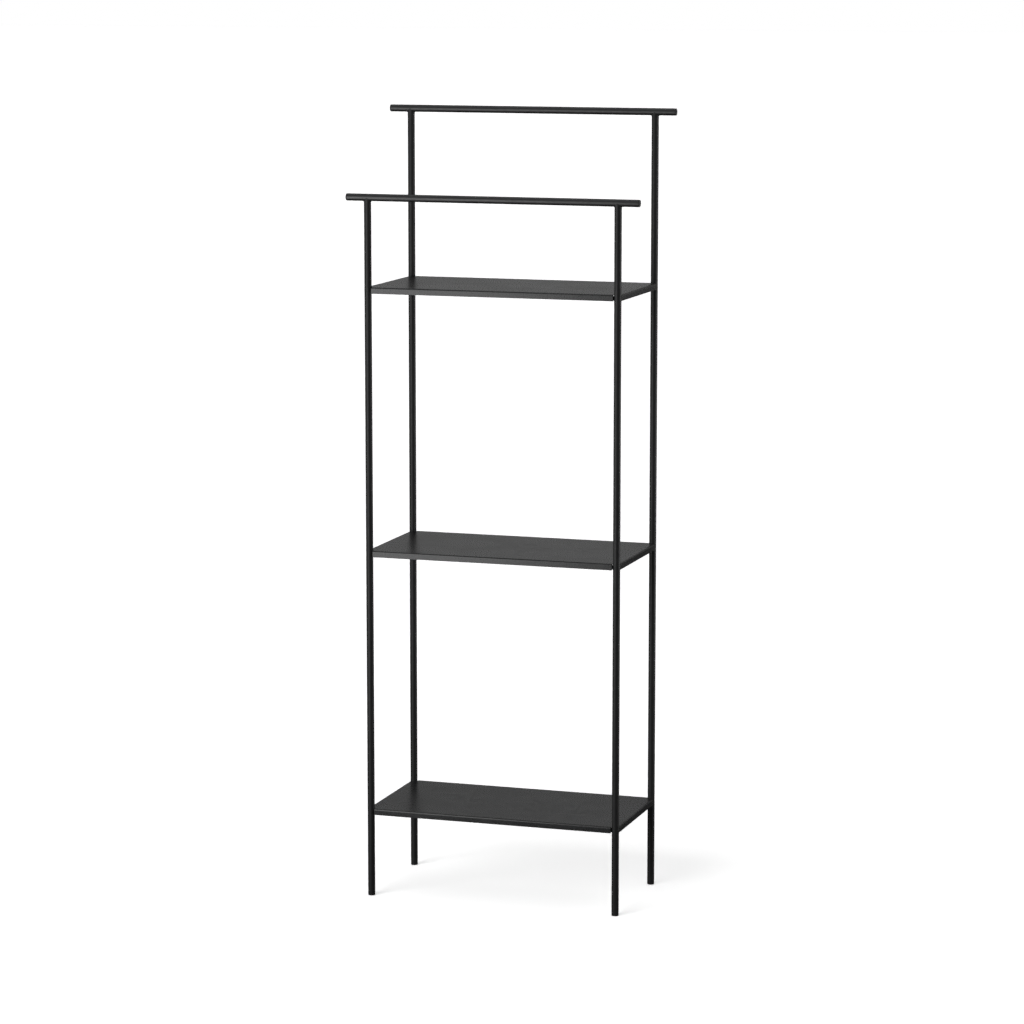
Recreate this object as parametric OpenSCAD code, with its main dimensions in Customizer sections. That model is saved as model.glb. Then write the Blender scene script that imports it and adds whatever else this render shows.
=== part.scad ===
// Free-standing bathroom shelf rack: a tall back frame and a lower front frame, each a towel rail
// on two round legs, joined by three folded steel trays that are screwed into the legs from inside.
// X runs along the rails, the front faces -Y, +Z is up, and the feet stand on Z = 0.

/* [Frames] */
// Distance between the axes of the left and right legs
leg_span_x = 427; // [300:1:700]
// Distance between the axes of the front and back legs
leg_span_y = 214; // [120:1:400]
// Length of towel rail past the axis of each leg
rail_overhang = 36.5; // [20:0.5:100]
// Outside diameter of the leg and rail tube
tube_d = 12; // [10:0.5:20]
// Wall of the tube
tube_wall = 1.5; // [0.8:0.1:1.6]
// Root gap of the weld between a coped leg and its rail
weld_gap = 0.05; // [0.02:0.01:0.3]

/* [Heights] */
// Height of the lowest deck above the floor
bottom_deck_z = 150; // [40:1:300]
// Distance from one deck up to the next
deck_pitch = 438; // [200:1:600]
// Height of the front rail's axis above the top deck
front_rail_rise = 147; // [40:1:300]
// Height of the back rail's axis above the front rail's axis
rail_step = 136; // [0:1:300]

/* [Trays] */
// Thickness of the sheet steel
sheet_t = 1.5; // [0.8:0.1:2.5]
// Depth of a tray's edge from the deck to its lower rim
flange_h = 10.5; // [8:0.5:30]
// Inside radius of the folds
fold_r = 0.8; // [0.3:0.1:2]
// Distance of a tray's outer faces past the leg axes
tray_reach = 5; // [4:0.5:5.5]
// Gap between a leg and the notch in the tray's corner
notch_gap = 0.8; // [0.5:0.1:4]

/* [Corner brackets] */
// Thickness of the bracket strip
bracket_t = 1.5; // [1:0.1:2]
// Length of each ear along the tray's edge
ear_len = 18; // [10:1:60]
// Gap between a bracket and the deck above it
bracket_drop = 0.8; // [0.8:0.1:2]
// Height of a bracket's lower rim above the tray's lower rim
bracket_lift = 0.4; // [0:0.1:2]

/* [Screws and bushes] */
// Outside diameter of the screw thread
screw_d = 4; // [3:0.5:4]
// Diameter of the button head
head_d = 7.6; // [6:0.1:8]
// Height of the button head
head_h = 2.2; // [1.5:0.1:3]
// Height of the straight rim below the head's dome
head_rim_h = 0.5; // [0.2:0.1:0.8]
// Size of the hexagon socket across its flats
socket_af = 2.5; // [2:0.5:3]
// Depth of the hexagon socket
socket_depth = 1.3; // [0.8:0.1:1.4]
// Outside diameter of the washer
washer_d = 8; // [7:0.1:9]
// Thickness of the washer
washer_t = 0.5; // [0.3:0.1:1]
// Gap between a washer and the deck above it
washer_gap = 0.3; // [0.1:0.1:2]
// Radial play of a screw in its washer and bracket
screw_play = 0.25; // [0.1:0.05:0.5]
// Radial play of the thread in its bush
thread_play = 0.05; // [0.02:0.01:0.1]
// Outside diameter of the threaded bush
bush_d = 6.5; // [5.5:0.1:6.8]
// Height of a bush's face above the crown of the leg
bush_proud = 0.4; // [0.2:0.1:1]
// Radial gap between a bush and the hole in the leg
bush_play = 0.05; // [0.02:0.01:0.1]
// Gap between a bush and the far wall of the leg
bush_back_gap = 0.5; // [0.2:0.1:1]
// Distance of a screw's tip inside the bush's far end
tip_inset = 1; // [0.2:0.1:3]
// Chamfer of a screw's tip
tip_chamfer = 0.5; // [0.2:0.1:0.8]

/* [Glides and caps] */
// Height of a foot glide below the end of its leg
glide_h = 3; // [2:0.5:8]
// Thickness of a rail cap outside the end of its rail
cap_h = 1.6; // [1:0.1:5]
// Radius of the outer edge of glides and caps
plug_edge_r = 1; // [0.3:0.1:1]
// Length of the ribbed stem inside the tube
stem_len = 14; // [8:1:20]
// Radial play between the ribs and the tube
rib_play = 0.05; // [0.02:0.01:0.2]
// Depth of the grooves between the ribs
rib_depth = 0.9; // [0.3:0.1:1.2]
// Thickness of one rib
rib_t = 1; // [0.6:0.1:2]
// Number of ribs on a stem
rib_count = 4; // [2:1:5]

/* [Hidden] */
$fn = 64;
tube_r = tube_d / 2;
tube_in_r = tube_r - tube_wall;
bend_r = fold_r + sheet_t;
notch_r = tube_r + notch_gap;
front_rail_z = bottom_deck_z + 2 * deck_pitch + front_rail_rise;
back_rail_z = front_rail_z + rail_step;
rail_len = leg_span_x + 2 * rail_overhang;
tray_half_x = leg_span_x / 2 + tray_reach;
tray_half_y = leg_span_y / 2 + tray_reach;
bracket_h = flange_h - sheet_t - bracket_drop - bracket_lift;
// Height of a screw's axis below the deck: at the middle of its bracket, or lower for the washer's sake
screw_drop = sheet_t + max(bracket_drop + bracket_h / 2, washer_d / 2 + washer_gap);
// Distance from a leg's axis to the face of its bushes, where the brackets seat
seat_r = tube_r + bush_proud;
bush_len = seat_r + sqrt(pow(tube_in_r, 2) - pow(bush_d / 2, 2)) - bush_back_gap;
screw_len = washer_t + bracket_t + bush_len - tip_inset;
stem_r = tube_in_r - rib_play - rib_depth;
// Overrun of a cutting shape past the surface it cuts
cut = 1;
steel_black = "#2b2c2e";
plastic_black = "#1d1e20";
zinc_dark = "#4a4b4e";

// Each corner: its name, then the sides of the rack it stands on, as signs of X and Y
CORNERS = [["front_left", -1, -1], ["front_right", 1, -1], ["back_left", -1, 1], ["back_right", 1, 1]];
// Each rail: its name, the sign of Y and its height
RAILS = [["front_rail", -1, front_rail_z], ["back_rail", 1, back_rail_z]];
// Each end of a rail: its name and the sign of X
ENDS = [["left", -1], ["right", 1]];
// Each shelf: its name and the height of its deck
SHELVES = [for (i = [0:2]) [["bottom", "middle", "top"][i], bottom_deck_z + i * deck_pitch]];

// Puts a shape drawn for a leg axis at the origin, with the rack's middle towards +X +Y, at one corner
module at_corner(corner) {
    translate([corner[1] * leg_span_x / 2, corner[2] * leg_span_y / 2, 0])
        mirror([corner[1] > 0 ? 1 : 0, 0, 0])
            mirror([0, corner[2] > 0 ? 1 : 0, 0])
                children();
}

// Turns a shape drawn along +Z so that it points along the corner's diagonal, from the leg inwards
module along_diagonal(height, start) {
    translate([0, 0, height])
        rotate([0, 0, 45])
            rotate([0, 90, 0])
                translate([0, 0, start])
                    children();
}

// Height of the rail that the legs of one side carry
function rail_z(side_y) = side_y < 0 ? front_rail_z : back_rail_z;

// One leg: a tube from its glide up to the rail, coped to the rail, with a hole for each bush
module leg(corner) {
    top = rail_z(corner[2]);
    color(steel_black)
        at_corner(corner)
            difference() {
                translate([0, 0, glide_h])
                    cylinder(r = tube_r, h = top - glide_h);
                translate([0, 0, glide_h - cut])
                    cylinder(r = tube_in_r, h = top - glide_h + 2 * cut);
                translate([0, 0, top])
                    rotate([0, 90, 0])
                        cylinder(r = tube_r + weld_gap, h = 2 * tube_d, center = true);
                for (s = SHELVES)
                    along_diagonal(s[1] - screw_drop, 0)
                        cylinder(r = bush_d / 2 + bush_play, h = seat_r + cut);
            }
}

// One towel rail: a straight tube between its two end caps
module rail(side_y, height) {
    color(steel_black)
        translate([0, side_y * leg_span_y / 2, height])
            rotate([0, 90, 0])
                difference() {
                    cylinder(r = tube_r, h = rail_len - 2 * cap_h, center = true);
                    cylinder(r = tube_in_r, h = rail_len, center = true);
                }
}

// Half section of a plug for a tube's end: a head with a rounded edge, and a ribbed stem above it
module plug_section(collar_h) {
    rib_pitch = (stem_len - rib_t) / rib_count;
    square([tube_r - plug_edge_r, collar_h]);
    translate([0, plug_edge_r])
        square([tube_r, collar_h - plug_edge_r]);
    translate([tube_r - plug_edge_r, plug_edge_r])
        intersection() {
            circle(r = plug_edge_r);
            translate([0, -plug_edge_r])
                square(plug_edge_r);
        }
    translate([0, collar_h - plug_edge_r / 2])
        square([stem_r, stem_len + plug_edge_r / 2]);
    for (i = [1:rib_count])
        translate([0, collar_h + i * rib_pitch])
            square([stem_r + rib_depth, rib_t]);
}

// One plug, with its head's outer face on Z = 0
module plug(collar_h) {
    rotate_extrude()
        plug_section(collar_h);
}

module glide(corner) {
    color(plastic_black)
        at_corner(corner)
            plug(glide_h);
}

module rail_cap(side_y, height, side_x) {
    color(plastic_black)
        translate([side_x * rail_len / 2, side_y * leg_span_y / 2, height])
            rotate([0, -side_x * 90, 0])
                plug(cap_h);
}

// Section of a tray's edge: X runs inwards from the outer face, Y up to the deck's top
module edge_section() {
    translate([0, -flange_h])
        square([sheet_t, flange_h - bend_r]);
    translate([bend_r, -bend_r])
        intersection() {
            difference() {
                circle(r = bend_r);
                circle(r = fold_r);
            }
            translate([-bend_r, 0])
                square(bend_r);
        }
}

// One folded edge, centred on the origin, with its outer face towards -Y
module tray_edge(length) {
    rotate([90, 0, 90])
        linear_extrude(height = length, center = true)
            edge_section();
}

// Outline cut from a deck at one corner, round the leg and out to both edges
module notch_outline() {
    reach = tray_reach + cut;
    circle(r = notch_r);
    translate([-reach, -reach])
        square([reach + notch_r, reach]);
    translate([-reach, -reach])
        square([reach, reach + notch_r]);
}

// One shelf: a flat deck with four folded edges, notched at the corners for the legs
module shelf(deck_z) {
    color(steel_black)
        translate([0, 0, deck_z]) {
            difference() {
                translate([bend_r - tray_half_x, bend_r - tray_half_y, -sheet_t])
                    cube([2 * (tray_half_x - bend_r), 2 * (tray_half_y - bend_r), sheet_t]);
                for (c = CORNERS)
                    at_corner(c)
                        translate([0, 0, -sheet_t - cut])
                            linear_extrude(height = sheet_t + 2 * cut)
                                notch_outline();
            }
            for (turn = [0, 180])
                rotate([0, 0, turn]) {
                    translate([0, -tray_half_y, 0])
                        tray_edge(leg_span_x - 2 * notch_r);
                    rotate([0, 0, 90])
                        translate([0, -tray_half_x, 0])
                            tray_edge(leg_span_y - 2 * notch_r);
                }
        }
}

// Plan of a corner bracket: a web across the corner, with an ear along each edge of the tray
module bracket_plan() {
    back = sheet_t - tray_reach;
    front = back + bracket_t;
    web_back = seat_r * sqrt(2) - back;
    web_front = (seat_r + bracket_t) * sqrt(2) - front;
    tip = web_back + ear_len;
    polygon([[tip, back], [web_back, back], [back, web_back], [back, tip],
             [front, tip], [front, web_front], [web_front, front], [tip, front]]);
}

// One corner bracket, seated on its bush and drilled for its screw
module bracket(corner, deck_z) {
    color(steel_black)
        at_corner(corner)
            difference() {
                translate([0, 0, deck_z - flange_h + bracket_lift])
                    linear_extrude(height = bracket_h)
                        bracket_plan();
                along_diagonal(deck_z - screw_drop, seat_r - cut)
                    cylinder(r = screw_d / 2 + screw_play, h = bracket_t + 2 * cut);
            }
}

// The bushes of one leg, one for each shelf, with their faces towards the brackets
module bushes(corner) {
    color(zinc_dark)
        at_corner(corner)
            for (s = SHELVES)
                along_diagonal(s[1] - screw_drop, seat_r - bush_len)
                    difference() {
                        cylinder(r = bush_d / 2, h = bush_len);
                        translate([0, 0, -cut])
                            cylinder(r = screw_d / 2 + thread_play, h = bush_len + 2 * cut);
                    }
}

// One washer, from Z = 0 up
module washer() {
    difference() {
        cylinder(r = washer_d / 2, h = washer_t);
        translate([0, 0, -cut])
            cylinder(r = screw_d / 2 + screw_play, h = washer_t + 2 * cut);
    }
}

// Half section of a screw's shank, which reaches a little way up into its head
module shank_section() {
    thread_r = screw_d / 2;
    polygon([[0, head_rim_h], [thread_r, head_rim_h], [thread_r, tip_chamfer - screw_len],
             [thread_r - tip_chamfer, -screw_len], [0, -screw_len]]);
}

// One button-head screw, with the underside of its head on Z = 0 and its tip below
module screw() {
    dome_h = head_h - head_rim_h;
    // Radius of the dome through the head's rim and the middle of its top
    dome_r = (pow(head_d / 2, 2) + pow(dome_h, 2)) / (2 * dome_h);
    difference() {
        union() {
            intersection() {
                cylinder(r = head_d / 2, h = head_h);
                translate([0, 0, head_h - dome_r])
                    sphere(r = dome_r);
            }
            rotate_extrude()
                shank_section();
        }
        translate([0, 0, head_h - socket_depth])
            cylinder(r = socket_af / sqrt(3), h = socket_depth + cut, $fn = 6);
    }
}

// The washers of one shelf
module washers(deck_z) {
    color(zinc_dark)
        for (c = CORNERS)
            at_corner(c)
                along_diagonal(deck_z - screw_drop, seat_r + bracket_t)
                    washer();
}

// The screws of one shelf
module screws(deck_z) {
    color(zinc_dark)
        for (c = CORNERS)
            at_corner(c)
                along_diagonal(deck_z - screw_drop, seat_r + bracket_t + washer_t)
                    screw();
}

for (c = CORNERS) {
    leg(c);
    bushes(c);
    glide(c);
}
for (r = RAILS) {
    rail(r[1], r[2]);
    for (e = ENDS)
        rail_cap(r[1], r[2], e[1]);
}
for (s = SHELVES) {
    shelf(s[1]);
    screws(s[1]);
    washers(s[1]);
    for (c = CORNERS)
        bracket(c, s[1]);
}
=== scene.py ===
# A tall, slim bathroom shelf rack in satin black: two welded tube frames with towel rails, and three
# folded steel shelves screwed between them. Metres throughout, front towards -Y, feet on Z = 0.
import math

import bmesh
import bpy
import mathutils
import numpy as np
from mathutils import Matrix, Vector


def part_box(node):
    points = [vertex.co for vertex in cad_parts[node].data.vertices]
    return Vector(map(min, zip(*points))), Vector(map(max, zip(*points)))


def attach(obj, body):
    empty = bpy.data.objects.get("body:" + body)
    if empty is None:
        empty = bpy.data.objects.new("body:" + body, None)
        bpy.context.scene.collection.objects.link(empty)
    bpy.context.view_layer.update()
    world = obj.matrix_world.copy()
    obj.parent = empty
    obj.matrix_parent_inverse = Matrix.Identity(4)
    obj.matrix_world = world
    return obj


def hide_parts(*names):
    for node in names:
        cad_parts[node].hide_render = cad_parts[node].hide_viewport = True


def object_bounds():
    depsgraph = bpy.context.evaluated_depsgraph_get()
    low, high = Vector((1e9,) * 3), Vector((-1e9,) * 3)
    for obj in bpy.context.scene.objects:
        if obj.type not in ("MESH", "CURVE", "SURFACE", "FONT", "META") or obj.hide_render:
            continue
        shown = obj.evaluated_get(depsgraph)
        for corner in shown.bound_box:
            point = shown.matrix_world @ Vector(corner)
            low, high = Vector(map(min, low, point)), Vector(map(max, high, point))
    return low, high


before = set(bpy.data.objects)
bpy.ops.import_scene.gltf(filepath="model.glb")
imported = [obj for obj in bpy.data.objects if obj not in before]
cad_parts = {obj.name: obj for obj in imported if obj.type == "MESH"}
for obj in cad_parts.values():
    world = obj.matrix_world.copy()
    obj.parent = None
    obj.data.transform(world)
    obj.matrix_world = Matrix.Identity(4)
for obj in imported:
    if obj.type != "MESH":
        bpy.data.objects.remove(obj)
cad_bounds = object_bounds()
MM = 0.001

# ---- Studio ----------------------------------------------------------------------------------------
# A plain white floor and surround. A wide soft light comes from the front left and a weaker one from
# straight above. White cards round the rack and a white wall behind it are there only for the gloss.
SURROUND_LIGHT = 0.08
FLOOR_HALF = 60.0
FLOOR_GAIN = 1.9
FLOOR_OWN_WHITE = 0.55
FLOOR_BOUNCE = (0.16, 0.16, 0.16, 1.0)
KEY_HEADING, KEY_HEIGHT, KEY_SPREAD, KEY_POWER = 23.0, 20.0, 42.0, 1.45
TOP_SPREAD, TOP_POWER = 80.0, 0.26


def light_path_mix(tree, output, seen, unseen):
    """Sends one shader to what the camera sees directly and another to every other ray."""
    path = tree.nodes.new("ShaderNodeLightPath")
    mix = tree.nodes.new("ShaderNodeMixShader")
    tree.links.new(path.outputs["Is Camera Ray"], mix.inputs["Fac"])
    tree.links.new(unseen, mix.inputs[1])
    tree.links.new(seen, mix.inputs[2])
    tree.links.new(mix.outputs["Shader"], output)


surround = bpy.data.worlds.new("Surround")
surround.use_nodes = True
tree = surround.node_tree
white = tree.nodes["Background"]
white.inputs["Color"].default_value = (1.0, 1.0, 1.0, 1.0)
dim = tree.nodes.new("ShaderNodeBackground")
dim.inputs["Color"].default_value = (1.0, 1.0, 1.0, 1.0)
dim.inputs["Strength"].default_value = SURROUND_LIGHT
light_path_mix(tree, tree.nodes["World Output"].inputs["Surface"], white.outputs[0], dim.outputs[0])
bpy.context.scene.world = surround
bpy.context.scene.view_settings.view_transform = "Standard"

floor_mesh = bpy.data.meshes.new("studio_floor")
floor_mesh.from_pydata([(-FLOOR_HALF, -FLOOR_HALF, 0), (FLOOR_HALF, -FLOOR_HALF, 0),
                        (FLOOR_HALF, FLOOR_HALF, 0), (-FLOOR_HALF, FLOOR_HALF, 0)], [], [(0, 1, 2, 3)])
floor = bpy.data.objects.new("studio_floor", floor_mesh)
bpy.context.scene.collection.objects.link(floor)
paper = bpy.data.materials.new("studio_paper")
paper.use_nodes = True
tree = paper.node_tree
tree.nodes.clear()
lit = tree.nodes.new("ShaderNodeBsdfDiffuse")
lit.inputs["Color"].default_value = (FLOOR_GAIN, FLOOR_GAIN, FLOOR_GAIN, 1.0)
own = tree.nodes.new("ShaderNodeEmission")
own.inputs["Strength"].default_value = FLOOR_OWN_WHITE
look = tree.nodes.new("ShaderNodeAddShader")
tree.links.new(lit.outputs[0], look.inputs[0])
tree.links.new(own.outputs[0], look.inputs[1])
bounce = tree.nodes.new("ShaderNodeBsdfDiffuse")
bounce.inputs["Color"].default_value = FLOOR_BOUNCE
surface = tree.nodes.new("ShaderNodeOutputMaterial").inputs["Surface"]
light_path_mix(tree, surface, look.outputs[0], bounce.outputs[0])
floor_mesh.materials.append(paper)


def aim(item, place, target):
    """Puts a lamp or camera at place and turns it so that its -Z looks at target."""
    place, target = np.array(place, float), np.array(target, float)
    back = (place - target) / np.linalg.norm(place - target)
    right = np.cross((0.0, 0.0, 1.0) if abs(back[2]) < 0.99 else (0.0, 1.0, 0.0), back)
    right = right / np.linalg.norm(right)
    up = np.cross(back, right)
    turn = np.eye(4)
    turn[:3, 0], turn[:3, 1], turn[:3, 2], turn[:3, 3] = right, up, back, place
    item.matrix_world = mathutils.Matrix(turn.tolist())


def far_light(name, heading, height, spread, power):
    """A soft light from far away. heading is the angle from straight ahead towards the left, height the
    angle above the floor and spread the angle that the light fills, all in degrees."""
    lamp = bpy.data.lights.new(name, "SUN")
    lamp.angle, lamp.energy = math.radians(spread), power
    holder = bpy.data.objects.new(name, lamp)
    bpy.context.scene.collection.objects.link(holder)
    heading, height = math.radians(heading), math.radians(height)
    flat = math.cos(height)
    place = (-flat * math.sin(heading), -flat * math.cos(heading), math.sin(height))
    aim(holder, place, (0, 0, 0))
    return holder


def soft_panel(name, place, target, width, height, watts):
    """A rectangular lamp of that size and power, aimed at target."""
    lamp = bpy.data.lights.new(name, "AREA")
    lamp.shape = "RECTANGLE"
    lamp.size, lamp.size_y, lamp.energy = width, height, watts
    holder = bpy.data.objects.new(name, lamp)
    bpy.context.scene.collection.objects.link(holder)
    aim(holder, place, target)
    holder.visible_camera = False
    return holder


far_light("key_light", KEY_HEADING, KEY_HEIGHT, KEY_SPREAD, KEY_POWER).visible_glossy = False
far_light("top_light", 0.0, 90.0, TOP_SPREAD, TOP_POWER)
rack_top = cad_bounds[1][2]

# Each card: its name, middle, width, height and power.
GLOSS_CARDS = [("front_card", (-0.7, -1.3, 0.56 * rack_top), 0.9, 1.45, 14.0),
               ("back_wall", (-0.8, 3.0, 1.5), 5.0, 1.6, 5.5),
               ("left_card", (-2.8, 1.7, 1.0), 2.2, 2.4, 18.0),
               ("rear_right_card", (1.35, 0.55, 0.55 * rack_top), 0.9, 1.45, 11.0),
               ("right_card", (2.4, -1.8, 2.3), 2.0, 1.4, 4.5),
               ("ceiling_card", (0.0, 0.0, 3.6), 3.0, 3.0, 12.0)]
for name, place, width, height, watts in GLOSS_CARDS:
    aim_height = rack_top / 2 if name == "ceiling_card" else min(place[2], rack_top)
    soft_panel(name, place, (0.0, 0.0, aim_height), width, height, watts).visible_diffuse = False

# The camera stands in front, a little to the right and above, and looks at the rack's middle line.
CAMERA_AZIMUTH, CAMERA_ELEVATION = math.radians(18.08), math.radians(8.90)
CAMERA_DISTANCE = 6.024
CAMERA_AIM = (0.0, 0.0, 0.647)
LENS_MM, SENSOR_MM = 127.1, 36.0
camera_data = bpy.data.cameras.new("camera")
camera_data.lens, camera_data.sensor_width = LENS_MM, SENSOR_MM
camera = bpy.data.objects.new("camera", camera_data)
bpy.context.scene.collection.objects.link(camera)
reach = CAMERA_DISTANCE * math.cos(CAMERA_ELEVATION)
aim(camera, (CAMERA_AIM[0] + reach * math.sin(CAMERA_AZIMUTH),
             CAMERA_AIM[1] - reach * math.cos(CAMERA_AZIMUTH),
             CAMERA_AIM[2] + CAMERA_DISTANCE * math.sin(CAMERA_ELEVATION)), CAMERA_AIM)
bpy.context.scene.camera = camera

# ---- Legs ------------------------------------------------------------------------------------------
# Four lengths of round steel tube. The top of each is cut to a saddle that fits the rail, welded all
# round, and the bead is dressed to a small smooth fillet before the frame is coated.
TUBE_WALL = 1.5 * MM
WELD_R = 2.2 * MM
CUT_EDGE = 0.25 * MM
ROUND_STEPS = 64
LEG_ROWS = 61
BORE_ROWS = 9
WELD_STEPS = 9
CUT_STEPS = 4
SHARP_ANGLE = math.radians(38)
CORNERS = ["front_left", "front_right", "back_left", "back_right"]


def add_piece(name, points, faces, material, rim=None, facing=None):
    """Makes a mesh from whole arrays, joins points that coincide, turns every face outwards, and puts the
    piece on the rack's one body in place of the CAD node of the same name. rim is a number for each
    point, 1 on an edge that hands and towels rub and 0 away from it. An open skin has no outside, so
    facing is the direction that its faces look in on average."""
    mesh = bpy.data.meshes.new(name)
    mesh.from_pydata(points.reshape(-1, 3).tolist(), [], faces.tolist())
    mesh.attributes.new("rim", "FLOAT", "POINT")
    values = np.zeros(len(mesh.vertices)) if rim is None else np.ascontiguousarray(rim, float).ravel()
    mesh.attributes["rim"].data.foreach_set("value", values)
    work = bmesh.new()
    work.from_mesh(mesh)
    bmesh.ops.remove_doubles(work, verts=work.verts, dist=1e-7)
    bmesh.ops.recalc_face_normals(work, faces=work.faces)
    work.to_mesh(mesh)
    work.free()
    if facing is not None:
        normals = np.empty(3 * len(mesh.polygons))
        areas = np.empty(len(mesh.polygons))
        mesh.polygons.foreach_get("normal", normals)
        mesh.polygons.foreach_get("area", areas)
        if areas @ normals.reshape(-1, 3) @ np.array(facing) < 0:
            mesh.flip_normals()
    mesh.shade_smooth()
    mesh.set_sharp_from_angle(angle=SHARP_ANGLE)
    piece = bpy.data.objects.new(name, mesh)
    bpy.context.scene.collection.objects.link(piece)
    mesh.materials.append(material)
    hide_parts(name)
    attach(piece, "root")
    return piece


def ring_faces(rows, columns, close_rows):
    """Four-sided faces of a grid that closes on itself across its columns and, where close_rows says so,
    along its rows too: face (i, j) joins points (i, j), (i, j + 1), (i + 1, j + 1) and (i + 1, j)."""
    i, j = np.meshgrid(np.arange(rows if close_rows else rows - 1), np.arange(columns), indexing="ij")
    next_i, next_j = (i + 1) % rows, (j + 1) % columns
    quads = [i * columns + j, i * columns + next_j, next_i * columns + next_j, next_i * columns + j]
    return np.stack(quads, axis=-1).reshape(-1, 4)


def leg_points(axis, foot_z, rail_z, radius):
    """A tube's whole skin as rows of points round its axis. At the angle a, the rail's underside lies
    r |cos a| below the rail's axis. The outer wall stops short of it by the fillet's radius, which
    shrinks with |cos a| to nothing at the sides, a quarter circle carries it out on to the rail, and the
    skin comes back along the rail's underside to the bore and down to the foot."""
    a = np.linspace(0, 2 * math.pi, ROUND_STEPS, endpoint=False)
    c, s = np.cos(a), np.sin(a)
    side = np.where(c < 0, -1.0, 1.0)
    fillet = WELD_R * np.abs(c) ** 1.2
    saddle = rail_z - radius * np.abs(c)
    rows = [np.stack([(radius - CUT_EDGE) * c, (radius - CUT_EDGE) * s, np.full_like(a, foot_z)], axis=-1)]
    for t in np.linspace(0, 1, LEG_ROWS):
        z = foot_z + CUT_EDGE + t * (saddle - fillet - foot_z - CUT_EDGE)
        rows.append(np.stack([radius * c, radius * s, z], axis=-1))
    for turn in np.linspace(0, math.pi / 2, WELD_STEPS)[1:]:
        out = radius * np.abs(c) + fillet * (1 - math.cos(turn))
        rows.append(np.stack([side * out, radius * s, saddle - fillet * (1 - math.sin(turn))], axis=-1))
    bore = radius - TUBE_WALL
    rim_x, rim_y = side * (radius * np.abs(c) + fillet), radius * s
    for t in np.linspace(0, 1, CUT_STEPS)[1:]:
        x, y = rim_x + t * (bore * c - rim_x), rim_y + t * (bore * s - rim_y)
        rows.append(np.stack([x, y, rail_z - np.sqrt(np.maximum(radius ** 2 - y ** 2, 0))], axis=-1))
    top = rows[-1][:, 2]
    for t in np.linspace(0, 1, BORE_ROWS)[1:]:
        rows.append(np.stack([bore * c, bore * s, top + t * (foot_z - top)], axis=-1))
    return np.stack(rows) + np.array([axis[0], axis[1], 0.0])


def new_group(name, inputs, outputs):
    """An empty shader node group with named sockets. Each input is (name, socket type, default)."""
    group = bpy.data.node_groups.new(name, "ShaderNodeTree")
    for label, kind, default in inputs:
        socket = group.interface.new_socket(label, in_out="INPUT", socket_type="NodeSocket" + kind)
        if default is not None:
            socket.default_value = default
    for label, kind in outputs:
        group.interface.new_socket(label, in_out="OUTPUT", socket_type="NodeSocket" + kind)
    return group, group.nodes.new("NodeGroupInput"), group.nodes.new("NodeGroupOutput")


def math_node(tree, operation, first, second):
    """A Math node whose two inputs are numbers or links. Returns its output."""
    node = tree.nodes.new("ShaderNodeMath")
    node.operation = operation
    for socket, value in zip(node.inputs, (first, second)):
        if isinstance(value, bpy.types.NodeSocket):
            tree.links.new(value, socket)
        else:
            socket.default_value = value
    return node.outputs[0]


def noise_node(tree, vector, scale, detail, roughness=0.5):
    """A Noise Texture on that vector. scale is a number or a link. Returns its value output."""
    node = tree.nodes.new("ShaderNodeTexNoise")
    node.inputs["Detail"].default_value = detail
    node.inputs["Roughness"].default_value = roughness
    tree.links.new(vector, node.inputs["Vector"])
    if isinstance(scale, bpy.types.NodeSocket):
        tree.links.new(scale, node.inputs["Scale"])
    else:
        node.inputs["Scale"].default_value = scale
    return node.outputs[0]


def range_node(tree, value, low, high, to_low, to_high):
    """Maps value from low..high to to_low..to_high, smoothly and clamped."""
    node = tree.nodes.new("ShaderNodeMapRange")
    node.interpolation_type = "SMOOTHSTEP"
    tree.links.new(value, node.inputs["Value"])
    for label, number in (("From Min", low), ("From Max", high), ("To Min", to_low), ("To Max", to_high)):
        if isinstance(number, bpy.types.NodeSocket):
            tree.links.new(number, node.inputs[label])
        else:
            node.inputs[label].default_value = number
    return node.outputs["Result"]


# Cured powder: a close, fine grain on a lazy orange-peel swell, and cloudy changes of tone and gloss.
powder_coat, grain_in, grain_out = new_group(
    "powder_coat", [("Position", "Vector", None), ("Grain Scale", "Float", 1900.0),
                    ("Peel Scale", "Float", 420.0), ("Peel Share", "Float", 0.45)],
    [("Height", "Float"), ("Cloud", "Float"), ("Speckle", "Float")])
grain = noise_node(powder_coat, grain_in.outputs["Position"], grain_in.outputs["Grain Scale"], 2.0, 0.6)
peel = noise_node(powder_coat, grain_in.outputs["Position"], grain_in.outputs["Peel Scale"], 1.0)
share = grain_in.outputs["Peel Share"]
height = math_node(powder_coat, "ADD", math_node(powder_coat, "MULTIPLY", peel, share),
                   math_node(powder_coat, "MULTIPLY", grain, math_node(powder_coat, "SUBTRACT", 1.0, share)))
powder_coat.links.new(height, grain_out.inputs["Height"])
cloud = noise_node(powder_coat, grain_in.outputs["Position"], 14.0, 3.0, 0.55)
powder_coat.links.new(range_node(powder_coat, cloud, 0.3, 0.7, 0.0, 1.0), grain_out.inputs["Cloud"])
speckle = noise_node(powder_coat, grain_in.outputs["Position"], 1500.0, 1.0)
powder_coat.links.new(range_node(powder_coat, speckle, 0.62, 0.78, 0.0, 1.0), grain_out.inputs["Speckle"])

# Rubbed edges: the rim attribute, broken up by noise, says where hands and towels polish the coat.
edge_rub, rub_in, rub_out = new_group(
    "edge_rub", [("Position", "Vector", None), ("Rim", "Float", 0.0), ("Breakup Scale", "Float", 90.0)],
    [("Mask", "Float")])
breakup = noise_node(edge_rub, rub_in.outputs["Position"], rub_in.outputs["Breakup Scale"], 3.0, 0.6)
worn_through = range_node(edge_rub, breakup, 0.42, 0.66, 0.0, 1.0)
rubbed = math_node(edge_rub, "MULTIPLY", rub_in.outputs["Rim"], worn_through)
edge_rub.links.new(rubbed, rub_out.inputs["Mask"])

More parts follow.
